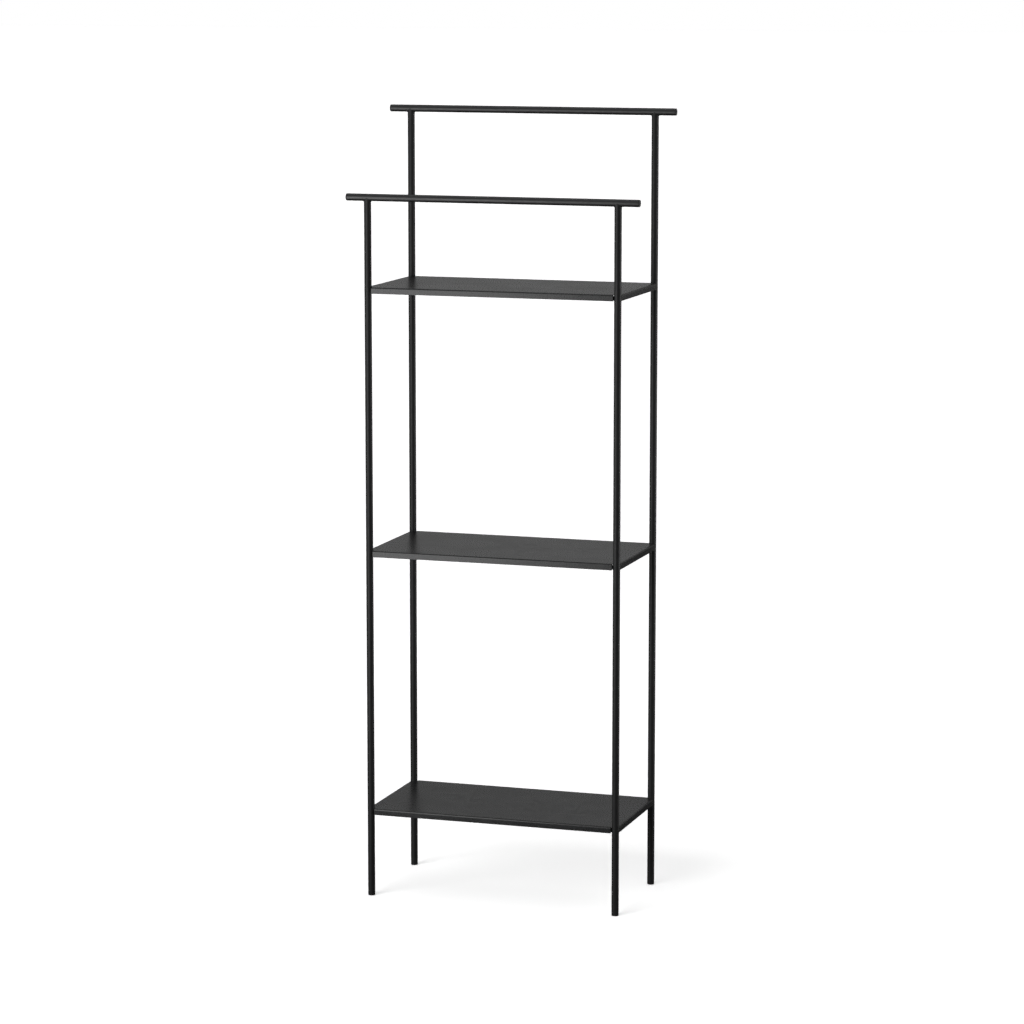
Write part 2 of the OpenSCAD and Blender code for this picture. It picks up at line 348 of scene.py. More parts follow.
# Settled dust: only faces that look up hold it, in faint drifts and specks.
settled_dust, dust_in, dust_out = new_group(
    "settled_dust", [("Position", "Vector", None), ("Normal", "Vector", None),
                     ("Drift Scale", "Float", 22.0)], [("Mask", "Float")])
split = settled_dust.nodes.new("ShaderNodeSeparateXYZ")
settled_dust.links.new(dust_in.outputs["Normal"], split.inputs[0])
facing_up = range_node(settled_dust, split.outputs["Z"], 0.55, 0.95, 0.0, 1.0)
drift = noise_node(settled_dust, dust_in.outputs["Position"], dust_in.outputs["Drift Scale"], 5.0, 0.7)
drift = range_node(settled_dust, drift, 0.35, 0.8, 0.4, 1.0)
settled_dust.links.new(math_node(settled_dust, "MULTIPLY", facing_up, drift), dust_out.inputs["Mask"])


def place_group(tree, group, values):
    """Puts a group into a material, with each named input set to a number or a link."""
    node = tree.nodes.new("ShaderNodeGroup")
    node.node_tree = group
    for label, value in values.items():
        if isinstance(value, bpy.types.NodeSocket):
            tree.links.new(value, node.inputs[label])
        else:
            node.inputs[label].default_value = value
    return node


def mix_colour(tree, factor, first, second):
    """Blends two colours, each a tuple or a link, by a linked factor. Returns the colour output."""
    node = tree.nodes.new("ShaderNodeMix")
    node.data_type = "RGBA"
    tree.links.new(factor, node.inputs[0])
    for socket, value in ((node.inputs[6], first), (node.inputs[7], second)):
        if isinstance(value, bpy.types.NodeSocket):
            tree.links.new(value, socket)
        else:
            socket.default_value = value
    return node.outputs[2]


SPARKLE_GREY = (0.06, 0.062, 0.065, 1.0)
RUBBED_GREY = (0.05, 0.05, 0.052, 1.0)
DUST_GREY = (0.33, 0.32, 0.31, 1.0)


def coated_steel(name, dark, light, grain_depth, dust_amount, matt, sheen):
    """Satin black powder coat: tone drifts between dark and light, rubbed edges are a little glossier and
    greyer, dust lightens and dulls faces that look up, and the grain gives a fine bump. matt is the
    roughness in the middle of its range, and sheen is how strongly the coat mirrors."""
    material = bpy.data.materials.new(name)
    material.use_nodes = True
    tree = material.node_tree
    shader = tree.nodes["Principled BSDF"]
    where = tree.nodes.new("ShaderNodeTexCoord")
    position, normal = where.outputs["Object"], where.outputs["Normal"]
    rim = tree.nodes.new("ShaderNodeAttribute")
    rim.attribute_name = "rim"
    coat = place_group(tree, powder_coat, {"Position": position})
    rub = place_group(tree, edge_rub, {"Position": position, "Rim": rim.outputs["Fac"]}).outputs["Mask"]
    dust = place_group(tree, settled_dust, {"Position": position, "Normal": normal}).outputs["Mask"]
    dust = math_node(tree, "MULTIPLY", dust, dust_amount)
    tone = math_node(tree, "MULTIPLY", coat.outputs["Cloud"], 0.35)
    tone = math_node(tree, "ADD", tone, range_node(tree, coat.outputs["Height"], 0.36, 0.64, 0.0, 0.65))
    colour = mix_colour(tree, tone, dark, light)
    sparkle = math_node(tree, "MULTIPLY", coat.outputs["Speckle"], 0.12)
    colour = mix_colour(tree, sparkle, colour, SPARKLE_GREY)
    colour = mix_colour(tree, math_node(tree, "MULTIPLY", rub, 0.25), colour, RUBBED_GREY)
    colour = mix_colour(tree, dust, colour, DUST_GREY)
    tree.links.new(colour, shader.inputs["Base Color"])
    rough = range_node(tree, coat.outputs["Cloud"], 0.0, 1.0, matt - 0.012, matt + 0.012)
    rough = math_node(tree, "SUBTRACT", rough, math_node(tree, "MULTIPLY", rub, 0.12))
    rough = math_node(tree, "ADD", rough, math_node(tree, "MULTIPLY", dust, 0.5))
    rough = math_node(tree, "ADD", rough, range_node(tree, coat.outputs["Height"], 0.36, 0.64, 0.06, -0.06))
    tree.links.new(rough, shader.inputs["Roughness"])
    bump = tree.nodes.new("ShaderNodeBump")
    bump.inputs["Strength"].default_value = 0.8
    bump.inputs["Distance"].default_value = grain_depth
    tree.links.new(coat.outputs["Height"], bump.inputs["Height"])
    tree.links.new(bump.outputs["Normal"], shader.inputs["Normal"])
    shader.inputs["Specular IOR Level"].default_value = sheen
    return material


TUBE_DARK, TUBE_LIGHT = (0.0125, 0.0128, 0.0133, 1.0), (0.0215, 0.0219, 0.0227, 1.0)
TUBE_DUST = 0.006
frame_coat = coated_steel("frame_coat", TUBE_DARK, TUBE_LIGHT, 0.09 * MM, TUBE_DUST, matt=0.5, sheen=0.33)
for corner in CORNERS:
    low, high = (np.array(p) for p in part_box(corner + "_leg"))
    axis, tube_r = (low + high) / 2, (high[0] - low[0]) / 2
    rail_low, rail_high = (np.array(p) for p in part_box(corner.split("_")[0] + "_rail"))
    rail_axis_z = (rail_low[2] + rail_high[2]) / 2
    points = leg_points(axis[:2], low[2], rail_axis_z, tube_r)
    height = (points[..., 2] - low[2]) / (high[2] - low[2])
    rim = 0.5 * np.exp(-(height / 0.012) ** 2) + 0.12
    add_piece(corner + "_leg", points, ring_faces(*points.shape[:2], True), frame_coat, rim)

# ---- Towel rails -----------------------------------------------------------------------------------
# Two straight lengths of the same tube, laid across the tops of the legs and welded to them. Towels
# and hands polish the coat along the top.
RAIL_ROWS = 81
BORE_EVERY = 8


def rail_points(start, end, axis_y, axis_z, radius):
    """A straight tube along X as rows of points round its axis: out along the skin, over the rounded end
    cut, back along the bore and over the other end."""
    a = np.linspace(0, 2 * math.pi, ROUND_STEPS, endpoint=False)
    x = start + CUT_EDGE + np.linspace(0, 1, RAIL_ROWS) * (end - start - 2 * CUT_EDGE)
    bore = radius - TUBE_WALL
    bore_x = x[::-BORE_EVERY]
    along = np.concatenate([[start], x, [end], [end], bore_x, [start]])
    out = np.concatenate([[radius - CUT_EDGE], np.full_like(x, radius), [radius - CUT_EDGE], [bore],
                          np.full_like(bore_x, bore), [bore]])
    along, out = along[:, None], out[:, None]
    shape = np.broadcast_arrays(along, axis_y + out * np.cos(a), axis_z + out * np.sin(a))
    return np.stack(shape, axis=-1)


rail_coat = coated_steel("rail_coat", TUBE_DARK, TUBE_LIGHT, 0.07 * MM, TUBE_DUST, matt=0.44, sheen=0.7)
for side in ("front", "back"):
    low, high = (np.array(p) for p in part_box(side + "_rail"))
    centre = (low + high) / 2
    points = rail_points(low[0], high[0], centre[1], centre[2], (high[2] - low[2]) / 2)
    rim = 0.55 * np.clip((points[..., 2] - centre[2]) / (high[2] - centre[2]), 0, 1) ** 4
    add_piece(side + "_rail", points, ring_faces(*points.shape[:2], True), rail_coat, rim)

# ---- Rail caps and foot glides ---------------------------------------------------------------------
# Moulded black plugs with a ribbed stem, pressed into the rail ends and the legs. Only the head shows:
# its rim is rounded, and a narrow shadow line is left where it meets the tube.
PLUG_EDGE_R = 1.0 * MM
PLUG_SEAM = 0.18 * MM
STEM_RIBS = 4
STEM_CHAMFER = 0.5 * MM
RIB_DEPTH = 0.9 * MM
RIB_PLAY = 0.05 * MM
GATE_R = 1.3 * MM
GATE_DEPTH = 0.2 * MM


def turned_points(radii, heights, origin, direction, steps=48):
    """A turned shape: the profile's radius and height, each one number a row or a grid of row by angle,
    carried round the line through origin along direction."""
    direction = np.array(direction, float) / np.linalg.norm(direction)
    helper = np.array([0.0, 0.0, 1.0]) if abs(direction[2]) < 0.9 else np.array([1.0, 0.0, 0.0])
    first = np.cross(helper, direction)
    first = first / np.linalg.norm(first)
    second = np.cross(direction, first)
    a = np.linspace(0, 2 * math.pi, steps, endpoint=False)
    radii = np.atleast_2d(np.asarray(radii, float).T).T * np.ones(steps)
    heights = np.atleast_2d(np.asarray(heights, float).T).T * np.ones(steps)
    out = np.cos(a)[:, None] * first + np.sin(a)[:, None] * second
    return np.array(origin, float) + radii[..., None] * out + heights[..., None] * direction


def plug_profile(radius, head, stem_length):
    """Half section of a plug from the middle of its face to the middle of its stem's end: a dished gate
    mark, a quarter-circle rim, a chamfered seam, then ribs that rise and fall as a smooth wave."""
    turn = np.linspace(0, math.pi / 2, 9)
    rim_r = radius - PLUG_EDGE_R + PLUG_EDGE_R * np.sin(turn)
    rim_h = PLUG_EDGE_R * (1 - np.cos(turn))
    stem_r = radius - TUBE_WALL - RIB_PLAY - RIB_DEPTH
    along = np.linspace(0, 1, 12 * STEM_RIBS + 1)
    wave = np.clip(1.6 * np.sin(along * STEM_RIBS * math.pi) ** 2 - 0.6, 0, 1)
    r = np.concatenate([[0, GATE_R, GATE_R + GATE_DEPTH], rim_r, [radius, radius - PLUG_SEAM],
                        stem_r + RIB_DEPTH * wave, [stem_r - STEM_CHAMFER, 0]])
    stem_end = head + stem_length
    h = np.concatenate([[GATE_DEPTH, GATE_DEPTH, 0], rim_h, [head - PLUG_SEAM, head],
                        head + along * (stem_length - STEM_CHAMFER), [stem_end, stem_end]])
    return r, h


def moulded_plastic(name, dark, light, roughness, grain_scale):
    """Black plastic straight from the mould: a close spark-eroded grain and slightly uneven gloss."""
    material = bpy.data.materials.new(name)
    material.use_nodes = True
    tree = material.node_tree
    shader = tree.nodes["Principled BSDF"]
    where = tree.nodes.new("ShaderNodeTexCoord")
    coat = place_group(tree, powder_coat, {"Position": where.outputs["Object"], "Grain Scale": grain_scale,
                                           "Peel Scale": 900.0, "Peel Share": 0.2})
    rim = tree.nodes.new("ShaderNodeAttribute")
    rim.attribute_name = "rim"
    rub = place_group(tree, edge_rub, {"Position": where.outputs["Object"], "Rim": rim.outputs["Fac"],
                                       "Breakup Scale": 260.0}).outputs["Mask"]
    colour = mix_colour(tree, coat.outputs["Cloud"], dark, light)
    colour = mix_colour(tree, math_node(tree, "MULTIPLY", rub, 0.5), colour, (0.06, 0.06, 0.061, 1.0))
    tree.links.new(colour, shader.inputs["Base Color"])
    rough = range_node(tree, coat.outputs["Height"], 0.3, 0.7, roughness - 0.06, roughness + 0.06)
    tree.links.new(rough, shader.inputs["Roughness"])
    bump = tree.nodes.new("ShaderNodeBump")
    bump.inputs["Strength"].default_value = 0.4
    bump.inputs["Distance"].default_value = 0.04 * MM
    tree.links.new(coat.outputs["Height"], bump.inputs["Height"])
    tree.links.new(bump.outputs["Normal"], shader.inputs["Normal"])
    return material


plug_plastic = moulded_plastic("plug_plastic", (0.013, 0.013, 0.0135, 1.0), (0.02, 0.02, 0.021, 1.0),
                               roughness=0.52, grain_scale=3200.0)


def add_plug(name, face_centre, inwards, radius, head, stem_length):
    """One plug, with the middle of its outer face at face_centre and its stem pointing inwards."""
    r, h = plug_profile(radius, head, stem_length)
    points = turned_points(r, h, face_centre, inwards)
    worn = np.exp(-(((h - 0.3 * PLUG_EDGE_R) / PLUG_EDGE_R) ** 2)) * (r > radius - 1.5 * PLUG_EDGE_R)
    add_piece(name, points, ring_faces(*points.shape[:2], False), plug_plastic,
              worn[:, None] * np.ones(points.shape[1]))


for side in ("front", "back"):
    rail_low, rail_high = (np.array(p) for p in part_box(side + "_rail"))
    for end, sign in (("left", -1), ("right", 1)):
        name = side + "_rail_" + end + "_cap"
        low, high = (np.array(p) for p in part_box(name))
        outer_x, rail_x = (low[0], rail_low[0]) if sign < 0 else (high[0], rail_high[0])
        head = abs(outer_x - rail_x)
        add_plug(name, (outer_x, (low[1] + high[1]) / 2, (low[2] + high[2]) / 2), (-sign, 0, 0),
                 (high[2] - low[2]) / 2, head, high[0] - low[0] - head)
for corner in CORNERS:
    low, high = (np.array(p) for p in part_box(corner + "_glide"))
    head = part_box(corner + "_leg")[0][2] - low[2]
    add_plug(corner + "_glide", ((low[0] + high[0]) / 2, (low[1] + high[1]) / 2, low[2]), (0, 0, 1),
             (high[0] - low[0]) / 2, head, high[2] - low[2] - head)

# ---- Shelves ---------------------------------------------------------------------------------------
# Three trays, each folded from one flat blank of sheet steel. The blank's corners are cut away round
# the legs, its four edges are folded down on a small radius, and the coat rounds every cut edge.
SHEET_T = 1.5 * MM
FOLD_INNER_R = 0.8 * MM
NOTCH_GAP = 0.8 * MM
FOLD_STEPS = 8
NOTCH_STEPS = 12
NOTCH_FIELD = 18 * MM
DECK_SAG = 0.25 * MM
COAT_EDGE = 0.3 * MM


def fold_down(flat, half, bend_r):
    """Folds a flat coordinate, measured from the middle of the blank, over an edge. Up to the fold it
    stays level. Along the fold it follows a quarter circle of radius bend_r, and past it, it runs
    straight down. Returns how far out and how far down the point lies."""
    size, start = np.abs(flat), half - bend_r
    turn = np.clip((size - start) / bend_r, 0, math.pi / 2)
    out = np.minimum(size, start) + bend_r * np.sin(turn)
    down = bend_r * (1 - np.cos(turn)) + np.maximum(size - start - bend_r * math.pi / 2, 0)
    return np.sign(flat) * out, down


def sheet_faces(rows, columns):
    """Four-sided faces of an open grid of points."""
    i, j = np.meshgrid(np.arange(rows - 1), np.arange(columns - 1), indexing="ij")
    first = i * columns + j
    return np.stack([first, first + 1, first + columns + 1, first + columns], axis=-1).reshape(-1, 4)


def blank_patches(leg, half, bend_r, flange, notch_r):
    """The flat blank as grids that meet point to point. In each corner, a fan of rows spreads from the
    notch's quarter circle round the leg out to a square, and straight rows carry on from the square's
    sides over the deck, the folds and the flanges."""
    turn = np.linspace(0, math.pi / 4, NOTCH_STEPS + 1)
    near = NOTCH_FIELD * np.tan(turn)
    spread = np.linspace(0, 1, 9) ** 1.3
    lines = []
    for k in (0, 1):
        start, rim = half[k] - bend_r, half[k] - bend_r + bend_r * math.pi / 2 + flange - bend_r
        deck_end = np.linspace(leg[k], start, 3)[1:]
        bend = start + bend_r * np.linspace(0, math.pi / 2, FOLD_STEPS + 1)[1:]
        past = np.concatenate([[leg[k]], deck_end, bend, np.linspace(bend[-1], rim, 6)[1:]])
        inner = np.linspace(0, leg[k] - NOTCH_FIELD, 20 if k == 0 else 10)
        lines.append((inner, leg[k] - near[::-1], past, leg[k] - notch_r - spread * (NOTCH_FIELD - notch_r)))
    patches = []

    def grid(xs, ys):
        """Adds every pairing of those two lines of coordinates as one patch."""
        patches.append(np.stack(np.meshgrid(xs, ys, indexing="ij"), axis=-1))

    full_y = np.unique(np.concatenate(lines[1][:3]).round(9))
    full_x_end = np.unique(np.concatenate(lines[0][1:3]).round(9))
    inner_x, inner_y = lines[0][0], lines[1][0]
    grid(inner_x, full_y)
    grid(full_x_end, inner_y)
    grid(lines[0][3], lines[1][2])
    grid(lines[0][2], lines[1][3])
    angle = np.linspace(0, math.pi / 2, 2 * NOTCH_STEPS + 1)
    arc = notch_r * np.stack([np.cos(angle), np.sin(angle)], axis=-1)
    square = NOTCH_FIELD * np.stack([np.concatenate([np.ones(NOTCH_STEPS), np.tan(turn)[::-1]]),
                                     np.concatenate([np.tan(turn), np.ones(NOTCH_STEPS)])], axis=-1)
    fan = arc[None] + spread[:, None, None] * (square - arc)[None]
    patches.append(np.array(leg) - fan)
    return patches


def shelf_skin(low, high, leg, tube_radius):
    """The upper skin of one tray: the blank's patches, mirrored into all four corners, folded down along
    X and along Y, with the deck hollowed a hair in the middle as thin sheet always is."""
    centre, half = (low + high) / 2, (high - low)[:2] / 2
    bend_r, flange = FOLD_INNER_R + SHEET_T, high[2] - low[2]
    points, faces, rims, count = [], [], [], 0
    for patch in blank_patches(leg, half, bend_r, flange, tube_radius + NOTCH_GAP):
        for mirror_x in (1, -1):
            for mirror_y in (1, -1):
                flat = patch * (mirror_x, mirror_y)
                x, down_x = fold_down(flat[..., 0], half[0], bend_r)
                y, down_y = fold_down(flat[..., 1], half[1], bend_r)
                hollow = (1 - np.minimum((x / leg[0]) ** 2, 1)) * (1 - np.minimum((y / leg[1]) ** 2, 1))
                z = high[2] - down_x - down_y - DECK_SAG * hollow
                points.append(np.stack([centre[0] + x, centre[1] + y, z], axis=-1).reshape(-1, 3))
                down = (down_x + down_y) / bend_r
                rims.append(0.4 * np.exp(-((down - 0.35) / 0.45) ** 2).ravel())
                faces.append(sheet_faces(*patch.shape[:2]) + count)
                count += patch.shape[0] * patch.shape[1]
    return np.concatenate(points), np.concatenate(faces), np.concatenate(rims)


def thicken(piece, thickness, edge):
    """Gives a skin its sheet thickness, behind its faces, and rounds its cut edges as a coat does."""
    wall = piece.modifiers.new("sheet", "SOLIDIFY")
    wall.thickness, wall.offset, wall.use_even_offset = thickness, -1, True
    wall.use_quality_normals = True
    soften = piece.modifiers.new("coated_edges", "BEVEL")
    soften.width, soften.segments, soften.limit_method = edge, 3, "ANGLE"
    soften.angle_limit = math.radians(50)
    soften.harden_normals = True


SHEET_DARK, SHEET_LIGHT = (0.0130, 0.0133, 0.0138, 1.0), (0.0220, 0.0224, 0.0232, 1.0)
shelf_coat = coated_steel("shelf_coat", SHEET_DARK, SHEET_LIGHT, 0.09 * MM, 0.008, matt=0.30, sheen=0.5)
front_left_axis = np.mean(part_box("front_left_leg"), axis=0)
back_right_axis = np.mean(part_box("back_right_leg"), axis=0)
leg_half_spans = (back_right_axis - front_left_axis)[:2] / 2
for level in ("bottom", "middle", "top"):
    low, high = (np.array(p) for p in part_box(level + "_shelf"))
    points, faces, rim = shelf_skin(low, high, leg_half_spans, tube_r)
    shelf = add_piece(level + "_shelf", points, faces, shelf_coat, rim, facing=(0, 0, 1))
    thicken(shelf, SHEET_T, COAT_EDGE)

# ---- Corner brackets -------------------------------------------------------------------------------
# Twelve short strips of the same sheet steel, one in each tray corner. Each is bent twice so that its
# middle crosses the corner in front of the leg, drilled for the screw, and spot-welded by its two ears.
BRACKET_T = 1.5 * MM
BRACKET_BEND_R = 1.0 * MM
BRACKET_HOLE_R = 2.25 * MM
BUSH_PROUD = 0.4 * MM
SPOT_R = 1.9 * MM
SPOT_DEPTH = 0.22 * MM
SPOT_FROM_TIP = 6.0 * MM


def bracket_patches(half_length, half_height, hole_r):
    """The flat strip as grids that meet point to point: rows that spread from the hole out to a square as
    high as the strip, and straight rows on both sides of it."""
    angle = np.linspace(0, 2 * math.pi, 33)
    arc = np.stack([np.cos(angle), np.sin(angle)], axis=-1)
    square = arc / np.max(np.abs(arc), axis=-1, keepdims=True)
    spread = np.linspace(0, 1, 4)[:, None, None]
    fan = hole_r * arc * (1 - spread) + half_height * square * spread
    heights = half_height * np.tan(np.linspace(-math.pi / 4, math.pi / 4, 9))
    past = np.linspace(half_height, half_length, 76)
    side = np.stack(np.meshgrid(past, heights, indexing="ij"), axis=-1)
    return [fan, side, side * (-1, 1)]


def bracket_skin(corner_sign, leg_axis, seat, ear_face, ear_tip, low_z, high_z):
    """The side of one bracket that faces the rack's middle. Along the flat strip, the middle stays
    straight across the corner's diagonal, an eighth of a circle of the bend's radius follows, and past it
    the ear runs straight along the tray's edge. Each spot weld is a shallow round pit, deepest in its
    middle. Lengths are measured from the leg's axis: seat to the middle's face, ear_face to the ears'
    face and ear_tip to their ends."""
    web_half = seat - ear_face * math.sqrt(2)
    ear_length = ear_tip - (seat * math.sqrt(2) - ear_face)
    bend_start = web_half - BRACKET_BEND_R * math.tan(math.pi / 8)
    bend_length = BRACKET_BEND_R * math.pi / 4
    half_length = bend_start + bend_length + ear_length - BRACKET_BEND_R * math.tan(math.pi / 8)
    points, faces, count = [], [], 0
    for patch in bracket_patches(half_length, (high_z - low_z) / 2, BRACKET_HOLE_R):
        along, size = patch[..., 0], np.abs(patch[..., 0])
        turn = np.clip((size - bend_start) / BRACKET_BEND_R, 0, math.pi / 4)
        rest = np.maximum(size - bend_start - bend_length, 0) / math.sqrt(2)
        across = np.sign(along) * (np.minimum(size, bend_start) + BRACKET_BEND_R * np.sin(turn) + rest)
        inwards = seat + BRACKET_BEND_R * (1 - np.cos(turn)) + rest
        away = np.hypot(size - half_length + SPOT_FROM_TIP, patch[..., 1])
        pit = SPOT_DEPTH * np.clip(1.25 - 1.25 * (away / SPOT_R) ** 2, 0, 1)
        x = (inwards + across) / math.sqrt(2) - np.where(along < 0, pit, 0)
        y = (inwards - across) / math.sqrt(2) - np.where(along > 0, pit, 0)
        z = (low_z + high_z) / 2 + patch[..., 1]
        place = np.stack([leg_axis[0] - corner_sign[0] * x, leg_axis[1] - corner_sign[1] * y, z], axis=-1)
        points.append(place.reshape(-1, 3))
        faces.append(sheet_faces(*patch.shape[:2]) + count)
        count += patch.shape[0] * patch.shape[1]
    return np.concatenate(points), np.concatenate(faces)


bracket_coat = coated_steel("bracket_coat", SHEET_DARK, SHEET_LIGHT, 0.09 * MM, 0.006, matt=0.52, sheen=0.45)
corner_signs = {corner: np.array([-1 if "left" in corner else 1, -1 if "front" in corner else 1])
                for corner in CORNERS}
seat_r = tube_r + BUSH_PROUD
for level in ("bottom", "middle", "top"):
    for corner, sign in corner_signs.items():
        low, high = (np.array(p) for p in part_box(level + "_" + corner + "_bracket"))
        leg_axis = sign * leg_half_spans
        ear_face = BRACKET_T - (high[0] if sign[0] > 0 else -low[0]) + leg_half_spans[0]
        ear_tip = leg_half_spans[0] - (low[0] if sign[0] > 0 else -high[0])
        points, faces = bracket_skin(sign, leg_axis, seat_r + BRACKET_T, ear_face, ear_tip, low[2], high[2])
        strip = add_piece(level + "_" + corner + "_bracket", points, faces, bracket_coat,
                          facing=(-sign[0], -sign[1], 0))
        thicken(strip, BRACKET_T, COAT_EDGE)

# ---- Threaded bushes -------------------------------------------------------------------------------
# Zinc-plated steel sleeves let into the legs where the shelves go, three to a leg. Each has a chamfered
# mouth, a fine knurl that grips the tube, and a thread for the screw.
BUSH_R = 3.25 * MM
BUSH_BORE_R = 2.05 * MM
BUSH_CHAMFER = 0.3 * MM
KNURL_DEPTH = 0.08 * MM
KNURL_TEETH = 18
THREAD_PITCH = 0.7 * MM
THREAD_DEPTH = 0.3 * MM
FAR_WALL_GAP = 0.5 * MM


def thread_wave(height, steps):
    """How deep the groove of a right-hand thread is at each height and angle, from 0 on its crest to 1 at
    its root: a triangle wave in height over pitch less angle over a full turn, with its tips cut flat."""
    turn = np.arange(steps) / steps
    phase = np.mod(np.asarray(height)[:, None] / THREAD_PITCH - turn, 1.0)
    return np.clip(2.6 * (1 - np.abs(2 * phase - 1)) - 0.8, 0, 1)


def plated_steel(name, dark, light, roughness, line_scale, line_depth):
    """Plated steel: the plate's tone drifts, turning leaves fine lines, and edges are rubbed brighter."""
    material = bpy.data.materials.new(name)
    material.use_nodes = True
    tree = material.node_tree
    shader = tree.nodes["Principled BSDF"]
    where = tree.nodes.new("ShaderNodeTexCoord")
    rim = tree.nodes.new("ShaderNodeAttribute")
    rim.attribute_name = "rim"
    plate = place_group(tree, powder_coat, {"Position": where.outputs["Object"], "Grain Scale": line_scale,
                                            "Peel Scale": 1500.0, "Peel Share": 0.3})
    rub = place_group(tree, edge_rub, {"Position": where.outputs["Object"], "Rim": rim.outputs["Fac"],
                                       "Breakup Scale": 700.0}).outputs["Mask"]
    colour = mix_colour(tree, plate.outputs["Cloud"], dark, light)
    colour = mix_colour(tree, math_node(tree, "MULTIPLY", rub, 0.6), colour, (0.38, 0.38, 0.39, 1.0))
    tree.links.new(colour, shader.inputs["Base Color"])
    rough = range_node(tree, plate.outputs["Height"], 0.3, 0.7, roughness - 0.07, roughness + 0.07)
    tree.links.new(math_node(tree, "SUBTRACT", rough, math_node(tree, "MULTIPLY", rub, 0.08)),
                   shader.inputs["Roughness"])
    shader.inputs["Metallic"].default_value = 1.0
    bump = tree.nodes.new("ShaderNodeBump")
    bump.inputs["Strength"].default_value = 0.35
    bump.inputs["Distance"].default_value = line_depth
    tree.links.new(plate.outputs["Height"], bump.inputs["Height"])
    tree.links.new(bump.outputs["Normal"], shader.inputs["Normal"])
    return material


def bush_points(origin, direction, length, steps=72):
    """One sleeve as rows of points round its axis, closed on itself: over the mouth's chamfers, along the
    knurled outside, over the far end and back through the threaded bore."""
    a = 2 * math.pi * np.arange(steps) / steps
    knurl = KNURL_DEPTH * np.abs(np.sin(KNURL_TEETH * a))
    body_h = np.linspace(BUSH_CHAMFER, length - BUSH_CHAMFER, 7)
    bore_h = np.arange(length - BUSH_CHAMFER, BUSH_CHAMFER, -THREAD_PITCH / 6)
    flat = np.ones(steps)
    body = BUSH_R - knurl[None] * ((body_h > 1.2 * MM) & (body_h < length - BUSH_CHAMFER))[:, None]
    bore = BUSH_BORE_R + 0.6 * THREAD_DEPTH * thread_wave(bore_h, steps)
    end_r = [(BUSH_R - BUSH_CHAMFER) * flat]
    mouth_r = [(BUSH_BORE_R + BUSH_CHAMFER) * flat]
    radii = np.concatenate([end_r, body, end_r, mouth_r, bore, mouth_r])
    heights = np.concatenate([[0], body_h, [length, length], bore_h, [0]])
    return turned_points(radii, heights, origin, direction, steps)


bush_plate = plated_steel("bush_plate", (0.36, 0.36, 0.37, 1.0), (0.46, 0.46, 0.47, 1.0),
                          roughness=0.36, line_scale=2400.0, line_depth=0.02 * MM)
inside_r = tube_r - TUBE_WALL
bush_length = seat_r + math.sqrt(inside_r ** 2 - BUSH_R ** 2) - FAR_WALL_GAP
screw_heights = {level: float(np.mean(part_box(level + "_shelf_screws"), axis=0)[2])
                 for level in ("bottom", "middle", "top")}
for corner, sign in corner_signs.items():
    inwards = np.array([-sign[0], -sign[1], 0]) / math.sqrt(2)
    sleeves = [bush_points(np.append(sign * leg_half_spans, height) + inwards * seat_r, -inwards, bush_length)
               for height in screw_heights.values()]
    shape = sleeves[0].shape
    faces = [ring_faces(shape[0], shape[1], True) + k * shape[0] * shape[1] for k in range(len(sleeves))]
    add_piece(corner + "_bushes", np.stack(sleeves), np.concatenate(faces), bush_plate)

# ---- Washers and screws ----------------------------------------------------------------------------
# Each shelf hangs on four button-head socket screws of black-plated steel. Each goes through a stamped
# washer and its bracket into the bush, and is tightened with a hex key from under the shelf.
WASHER_R = 4.0 * MM
WASHER_HOLE_R = 2.25 * MM
WASHER_T = 0.5 * MM
WASHER_EDGE = 0.12 * MM
HEAD_R = 3.8 * MM
HEAD_H = 2.2 * MM
HEAD_RIM_H = 0.5 * MM
HEAD_EDGE = 0.12 * MM
HEX_FLAT = 1.25 * MM
HEX_DEPTH = 1.3 * MM
HEX_MOUTH_R = 1.62 * MM
HEX_EDGE = 0.1 * MM
NECK_FILLET = 0.15 * MM
NECK_LENGTH = 1.2 * MM
SHANK_R = 2.0 * MM
SCREW_LENGTH = 10.01 * MM
TIP_CHAMFER = 0.5 * MM


def washer_points(origin, direction, steps=48):
    """A stamped ring as rows round its axis: its four edges are quarter circles of the edge's radius."""
    turn = np.linspace(0, math.pi / 2, 5)
    low, high = WASHER_HOLE_R + WASHER_EDGE, WASHER_R - WASHER_EDGE
    rise = WASHER_T - WASHER_EDGE
    r = np.concatenate([high + WASHER_EDGE * np.sin(turn), high + WASHER_EDGE * np.cos(turn),
                        low - WASHER_EDGE * np.sin(turn), low - WASHER_EDGE * np.cos(turn)])
    h = np.concatenate([WASHER_EDGE - WASHER_EDGE * np.cos(turn), rise + WASHER_EDGE * np.sin(turn),
                        rise + WASHER_EDGE * np.cos(turn), WASHER_EDGE - WASHER_EDGE * np.sin(turn)])
    return turned_points(r, h, origin, direction, steps)


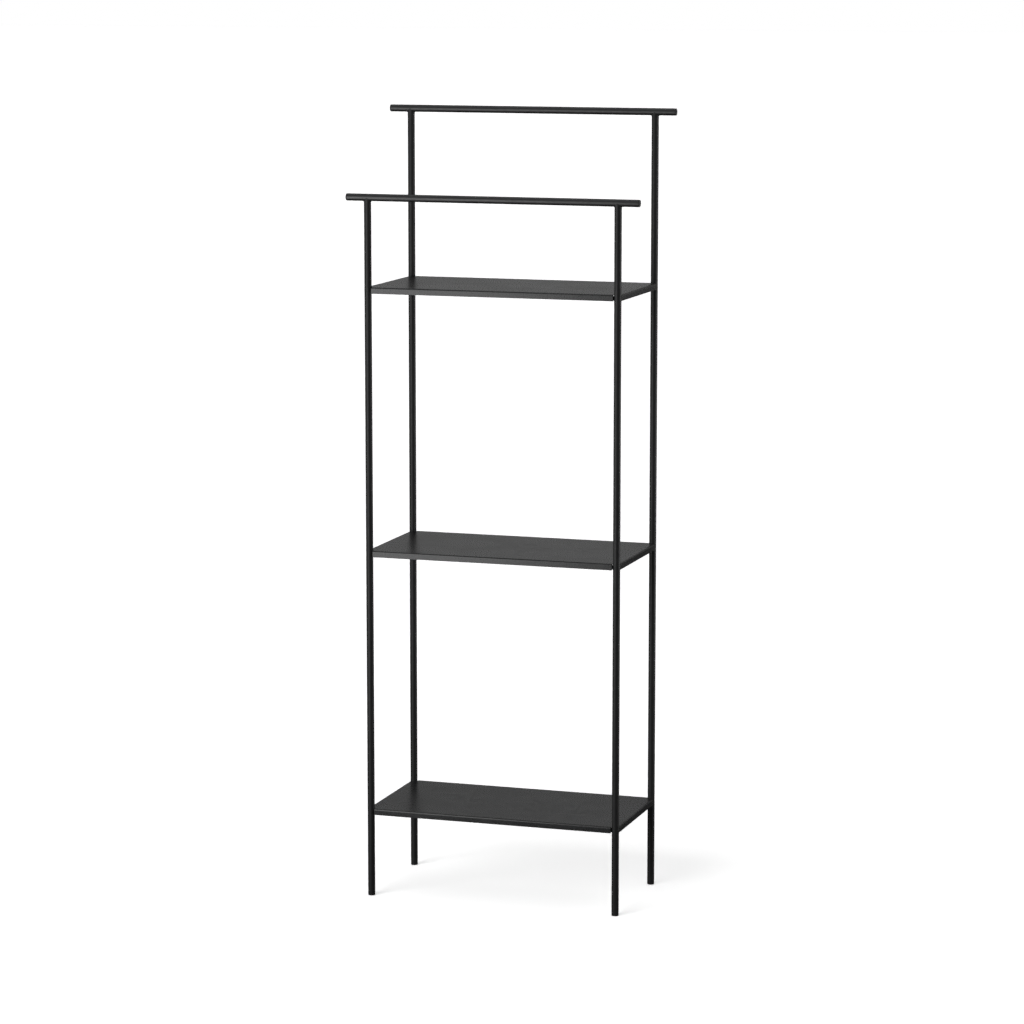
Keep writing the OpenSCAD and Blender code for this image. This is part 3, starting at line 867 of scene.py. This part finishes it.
def screw_points(origin, direction, steps=72):
    """A button-head screw from the middle of its socket to the middle of its tip. The socket is six-sided:
    its radius is the flat's distance over the cosine of the angle from the nearest flat's middle. The
    head's top is a sphere through its rim, and the shank carries the thread up to a short plain neck."""
    a = 2 * math.pi * np.arange(steps) / steps
    flat = np.ones(steps)
    hexagon = HEX_FLAT / np.cos(np.mod(a + math.pi / 6, math.pi / 3) - math.pi / 6)
    crown = HEAD_H - HEAD_RIM_H
    dome_r = (HEAD_R ** 2 + crown ** 2) / (2 * crown)
    dome = np.linspace(HEX_MOUTH_R, HEAD_R - HEAD_EDGE, 9)
    dome_h = HEAD_H - dome_r + np.sqrt(dome_r ** 2 - dome ** 2)
    mouth_h = dome_h[0] - 0.02 * MM
    thread_h = np.arange(-NECK_LENGTH, TIP_CHAMFER - SCREW_LENGTH, -THREAD_PITCH / 6)
    fade = np.clip((-NECK_LENGTH - thread_h) / THREAD_PITCH, 0, 1)[:, None]
    thread = SHANK_R - THREAD_DEPTH * thread_wave(thread_h, steps) * fade
    radii = np.concatenate([[0 * flat], [0.55 * hexagon], [hexagon], [hexagon], [hexagon + HEX_EDGE],
                            dome[:, None] * flat, [HEAD_R * flat], [HEAD_R * flat],
                            [(HEAD_R - HEAD_EDGE) * flat], [(SHANK_R + NECK_FILLET) * flat], [SHANK_R * flat],
                            thread, [(SHANK_R - TIP_CHAMFER) * flat], [0 * flat]])
    floor_h = HEAD_H - HEX_DEPTH
    heights = np.concatenate([[floor_h, floor_h + 0.1 * MM, floor_h + 0.15 * MM, mouth_h - HEX_EDGE, mouth_h],
                              dome_h, [HEAD_RIM_H - HEAD_EDGE, HEAD_EDGE],
                              [0, 0, -0.2 * MM], thread_h, [-SCREW_LENGTH, -SCREW_LENGTH]])
    return turned_points(radii, heights, origin, direction, steps)


black_plate = plated_steel("black_plate", (0.035, 0.035, 0.038, 1.0), (0.06, 0.06, 0.066, 1.0),
                           roughness=0.38, line_scale=2800.0, line_depth=0.02 * MM)
for level, height in screw_heights.items():
    rings, screws = [], []
    for sign in corner_signs.values():
        inwards = np.array([-sign[0], -sign[1], 0]) / math.sqrt(2)
        seat = np.append(sign * leg_half_spans, height) + inwards * (seat_r + BRACKET_T)
        rings.append(washer_points(seat, inwards))
        screws.append(screw_points(seat + inwards * WASHER_T, inwards))
    for name, solids, closed in (("_shelf_washers", rings, True), ("_shelf_screws", screws, False)):
        shape = solids[0].shape
        faces = [ring_faces(shape[0], shape[1], closed) + k * shape[0] * shape[1] for k in range(len(solids))]
        worn = np.zeros(shape[:2])
        worn[4:7] = 1.0
        add_piece(level + name, np.stack(solids), np.concatenate(faces), black_plate,
                  np.stack([worn] * len(solids)))
